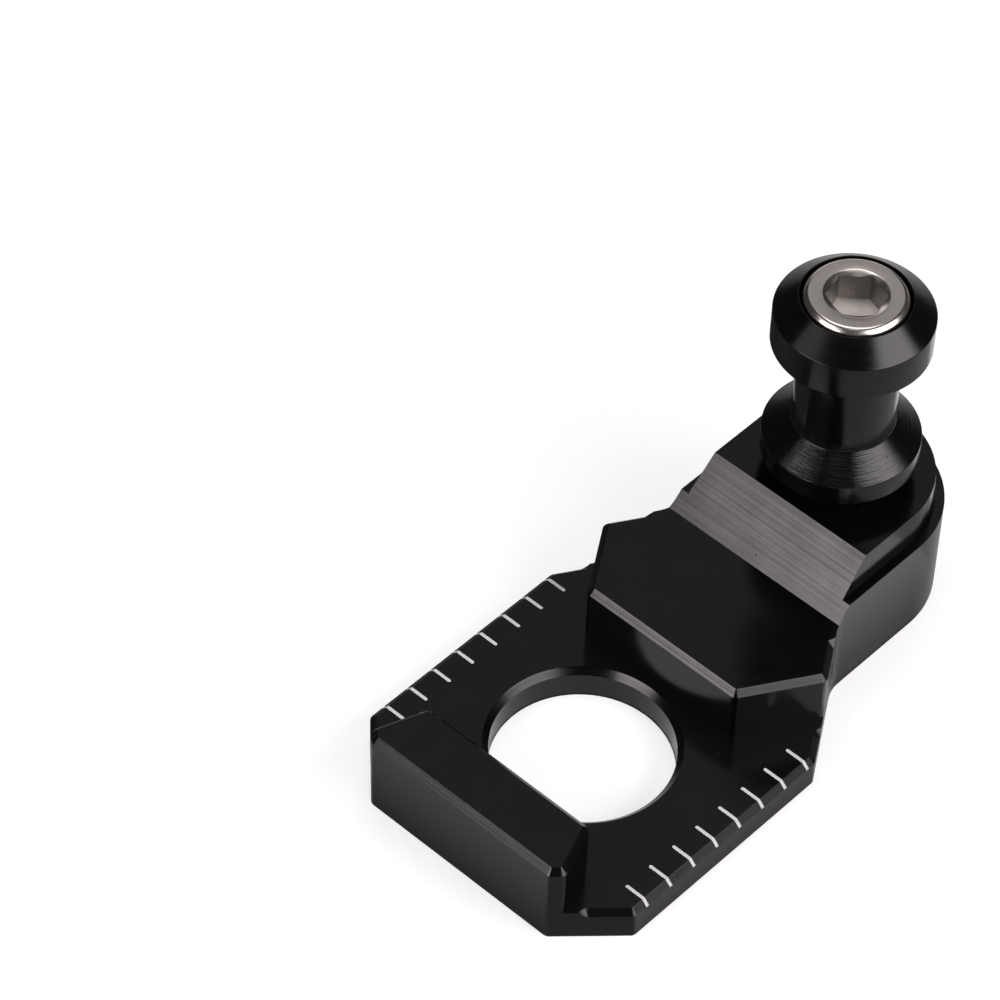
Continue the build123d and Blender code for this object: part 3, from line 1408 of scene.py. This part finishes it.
@dataclass(frozen=True)
class PaintedReflectionCard:
    """A glowing card on the floor, graded along X or Y: a painted reflection only mirror images show."""

    name: str
    # Corners in millimetres.
    corners: tuple[tuple[float, float], ...]
    glow_from: float
    glow_to: float
    axis: str = "X"
    shade_from: float = 0.0
    shade_to: float = 1.0
    height: float = 0.2 * MM

    def build(self) -> Object:
        """Lay the card.

        Returns:
            The card.
        """
        mesh = flat_mesh(self.name, [(x * MM, y * MM, self.height) for x, y in self.corners])
        mesh.materials.append(self.glow())
        card = new_object(self.name, mesh)
        card.visible_camera = False
        card.visible_diffuse = False
        card.visible_transmission = False
        card.visible_shadow = False
        return card

    def glow(self) -> Material:
        """Build the card's glow, which paints light or shade into the mirror images.

        Returns:
            The material.
        """
        material, tree = new_material(self.name + "_paper")
        place = add_node(tree, "ShaderNodeTexCoord").outputs["Object"]
        along = add_node(tree, "ShaderNodeSeparateXYZ", {0: place}).outputs[self.axis]
        power = add_node(
            tree,
            "ShaderNodeMapRange",
            {
                "Value": along,
                "From Min": self.shade_from,
                "From Max": self.shade_to,
                "To Min": self.glow_from,
                "To Max": self.glow_to,
            },
        )
        glow = add_node(tree, "ShaderNodeEmission", {"Strength": power.outputs[0]})
        add_node(tree, "ShaderNodeOutputMaterial", {"Surface": glow.outputs[0]})
        return material


@dataclass
class Studio:
    """Camera, white floor, soft lamps and the dim room round them."""

    image_size: float = 1000.0
    focal_length: float = 4679.191
    azimuth: float = 311.612
    elevation: float = 47.606
    roll: float = 2.132
    distance: float = 689.201 * MM
    origin_column: float = 581.744
    origin_row: float = 766.813
    sensor: float = 36.0
    clip_start: float = 10 * MM
    floor_half: float = 6.0
    floor_drop: float = 0.05 * MM
    room_light: float = 0.05

    def camera(self) -> Object:
        """Set the camera to the photograph's viewing angle.

        Returns:
            The camera.
        """
        turn = radians(self.azimuth)
        rise = radians(self.elevation)
        roll = radians(self.roll)
        back = Vector((sin(turn) * cos(rise), -cos(turn) * cos(rise), sin(rise)))
        level = Vector((0, 0, 1)).cross(back).normalized()
        upright = back.cross(level)
        right = level * cos(roll) + upright * sin(roll)
        up = upright * cos(roll) - level * sin(roll)
        across = (self.origin_column - self.image_size / 2) / self.focal_length * self.distance
        down = (self.origin_row - self.image_size / 2) / self.focal_length * self.distance
        data = bpy.data.cameras.new("studio_camera")
        data.sensor_width = self.sensor
        data.lens = self.focal_length / self.image_size * self.sensor
        data.clip_start = self.clip_start
        camera = new_object("studio_camera", data)
        turned = Matrix((right, up, back)).transposed().to_4x4()
        place = back * self.distance + up * down - right * across
        camera.matrix_world = Matrix.Translation(place) @ turned
        bpy.context.scene.camera = camera
        return camera

    def floor(self, paper: Material) -> Object:
        """Lay the white floor just under the object.

        Args:
            paper: Finish of the floor.

        Returns:
            The floor.
        """
        half = self.floor_half
        low = -self.floor_drop
        corners = [(-half, -half, low), (half, -half, low), (half, half, low), (-half, half, low)]
        mesh = flat_mesh("studio_floor", corners)
        mesh.materials.append(paper)
        floor = new_object("studio_floor", mesh)
        return floor

    def room(self) -> None:
        """Make the room dim to the object and white to the camera past the floor's end."""
        world = bpy.data.worlds.new("studio_room")
        world.use_nodes = True
        tree = world.node_tree
        tree.nodes.clear()
        path = add_node(tree, "ShaderNodeLightPath").outputs
        seen = add_node(
            tree,
            "ShaderNodeMath",
            {0: path["Is Camera Ray"], 1: path["Is Transmission Ray"]},
            operation="MAXIMUM",
        )
        level = add_node(
            tree,
            "ShaderNodeMapRange",
            {"Value": seen.outputs[0], "To Min": self.room_light, "To Max": 1.0},
        )
        light = add_node(tree, "ShaderNodeBackground", {"Strength": level.outputs[0]})
        add_node(tree, "ShaderNodeOutputWorld", {"Surface": light.outputs[0]})
        bpy.context.scene.world = world
        bpy.context.scene.view_settings.view_transform = "Standard"


HOLE_CARD_RADIUS = 13.8
HOLE_CARD_TURNS = [radians(turn) for turn in range(0, 360, 15)]

# Painted reflections: cards on the floor that brighten or darken what the block and the spool mirror.
PAINTED_REFLECTION_CARDS = (
    # Painted light: brightens the shadowed floor that the walls of the axle hole mirror.
    PaintedReflectionCard(
        name="hole_painted_light_card",
        corners=tuple((HOLE_CARD_RADIUS * cos(a), HOLE_CARD_RADIUS * sin(a)) for a in HOLE_CARD_TURNS),
        glow_from=0.68, glow_to=0.68,
    ),
    # Painted light: brightens the floor that the right side of the spool mirrors.
    PaintedReflectionCard(
        name="right_painted_light_card",
        corners=((80, -16), (88, -16), (90, -9), (150, -20), (150, 40), (80, 12)),
        glow_from=1.0, glow_to=1.0,
    ),
    # Painted shade: a dark sheet on the far side, darker away from the block, that only mirror images
    # show.
    PaintedReflectionCard(
        name="far_painted_shade_card",
        corners=((-45, 27), (28, 30), (82, 46), (200, 400), (-150, 400)),
        shade_from=18 * MM, shade_to=52 * MM,
        glow_from=0.14, glow_to=0.04,
    ),
    # Painted shade: contact shade at the axle end, dark by the end wall and lighter away from it, seen
    # only in mirror images.
    PaintedReflectionCard(
        name="end_painted_shade_card",
        corners=((-90, -17), (-26.7, -17), (-26.7, 26), (-90, 26)),
        shade_from=-26.7 * MM, shade_to=-40 * MM,
        glow_from=0.22, glow_to=0.90,
    ),
    # Painted shade: an evenly dim patch by the corner cut, seen only in its mirror image.
    PaintedReflectionCard(
        name="corner_painted_shade_card",
        corners=((-26.7, -17.5), (-17.5, -26.6), (-17.5, -45), (-45, -45), (-45, -17.5)),
        glow_from=0.36, glow_to=0.36,
    ),
    # Painted shade by the tongue, turning to painted light further out, seen only in mirror images.
    PaintedReflectionCard(
        name="side_painted_shade_card",
        corners=((29, -32), (69, -32), (69, -17), (38, -17)),
        axis="Y",
        shade_from=-18 * MM, shade_to=-29 * MM,
        glow_from=0.44, glow_to=1.20,
    ),
)

SOFTBOXES = (
    Softbox(
        name="right_softbox", azimuth=-77.0, elevation=37.4, distance=0.62,
        width=0.75, height=0.405, strength=6.0, tint="#fffaf8",
        feather_left=0.175, feather_right=0.185, feather_low=0.09, feather_high=0.085,
    ),
    Softbox(
        name="left_softbox", azimuth=167.1, elevation=32.9, distance=0.62,
        width=0.479, height=0.16, strength=11.0, tint="#fff8f6",
        feather_left=0.10, feather_right=0.10, feather_low=0.035, feather_high=0.035,
    ),
    Softbox(
        name="left_scrim", azimuth=158.0, elevation=46.0, distance=0.66,
        width=0.58, height=0.18, strength=1.2, tint="#fff8f6",
        feather_left=0.06, feather_right=0.06, feather_low=0.04, feather_high=0.05,
    ),
    Softbox(
        name="back_card", azimuth=42.0, elevation=50.0, distance=0.80,
        width=1.00, height=0.76, strength=0.37, tint="#fffafa",
        feather_left=0.25, feather_right=0.25, feather_low=0.20, feather_high=0.20,
    ),
    Softbox(
        name="horizon_card", azimuth=42.0, elevation=12.0, distance=1.20,
        width=1.00, height=0.40, strength=1.2, tint="#fffafa",
        feather_left=0.20, feather_right=0.20, feather_low=0.08, feather_high=0.08,
    ),
    Softbox(
        name="front_scrim", azimuth=221.0, elevation=72.0, distance=0.70,
        width=0.30, height=0.20, strength=1.0, tint="#fffaf8",
        feather_left=0.08, feather_right=0.08, feather_low=0.05, feather_high=0.05,
    ),
    Softbox(
        name="top_softbox", azimuth=42.0, elevation=77.0, distance=0.70,
        width=0.50, height=0.34, strength=3.0, tint="#fffaf8",
        feather_left=0.08, feather_right=0.08, feather_low=0.06, feather_high=0.06,
    ),
)


def report(piece: Object) -> None:
    """Log the name and the triangle count of a finished piece."""
    piece.data.calc_loop_triangles()
    LOG.info("%s: %d triangles", piece.name, len(piece.data.loop_triangles))


def main() -> None:
    """Build the finishes, the pieces and the studio."""
    logging.basicConfig(level=logging.INFO, format="%(name)s %(message)s")
    spool = StandSpool()
    gloss = BlackAnodise(name="anodised_aluminium_face_milled", roughness=0.17).build()
    cut = BlackAnodise(
        name="anodised_aluminium_cutter_lines",
        roughness=0.22,
        # Feed lines are taken to be 0.05 mm apart. They are drawn at 0.24 mm so that they show.
        lines=ToolLines(
            LineCourse.LEVEL, spacing=0.24 * MM, length=70 * MM, height=5.2 * MICRON, streak=0.06
        ),
    ).build()
    turned = BlackAnodise(
        name="anodised_aluminium_turned",
        roughness=0.16,
        # Turning rings are taken to be 0.08 mm apart. They are drawn at 0.24 mm so that they show.
        lines=ToolLines(
            LineCourse.LEVEL, spacing=0.24 * MM, length=30 * MM, height=6 * MICRON, streak=0.02
        ),
    ).build()
    ringed = BlackAnodise(
        name="anodised_aluminium_turning_rings",
        roughness=0.16,
        ior=1.42,
        # Rings of the cone are taken to be 0.12 mm apart. They are drawn at 0.17 mm so that they show.
        lines=ToolLines(
            LineCourse.LEVEL, spacing=0.17 * MM, length=6 * MM, height=42 * MICRON, streak=0.03
        ),
    ).build()
    # Facing rings are taken to be 0.05 mm apart. They are drawn at 0.2 mm so that they show.
    rings = ToolLines(
        LineCourse.ROUND_AXIS, spacing=0.2 * MM, height=0.5 * MICRON, axis_x=spool.axis_x
    )
    bright = StainlessSteel(
        name="stainless_steel_faced",
        roughness=0.22,
        colour="#d8d3cf",
        dull_colour="#c4beb9",
        blotch_size=2.0 * MM,
        blotch_spread=0.05,
        lines=rings,
    ).build()
    # Darker copy of the steel: its colour paints the shade inside the socket.
    wall = StainlessSteel(
        name="stainless_steel_broached_walls_painted_shade",
        roughness=0.34,
        colour="#989491",
        dull_colour="#85817e",
        blotch_size=1.2 * MM,
        blotch_spread=0.08,
        lines=rings,
    ).build()
    # Near-white copy of the steel: its colour paints the light falling on the socket floor.
    pressed = StainlessSteel(
        name="stainless_steel_pressed_socket_painted_light",
        roughness=0.62,
        colour="#f8f5f2",
        dull_colour="#e6e2de",
        blotch_size=1.2 * MM,
        blotch_spread=0.08,
        lines=rings,
    ).build()
    report(AdjusterBlock().build(gloss, cut))
    report(ScaleMarks().build(ScalePaint().build()))
    report(spool.build(turned, ringed))
    for piece in SpoolScrew().build(bright, wall, pressed):
        report(piece)
    studio = Studio()
    studio.camera()
    studio.floor(PaperFloor().build())
    studio.room()
    for card in PAINTED_REFLECTION_CARDS:
        card.build()
    low, high = CAD_BOX
    for softbox in SOFTBOXES:
        softbox.build((low + high) / 2)


if __name__ == "__main__":
    main()
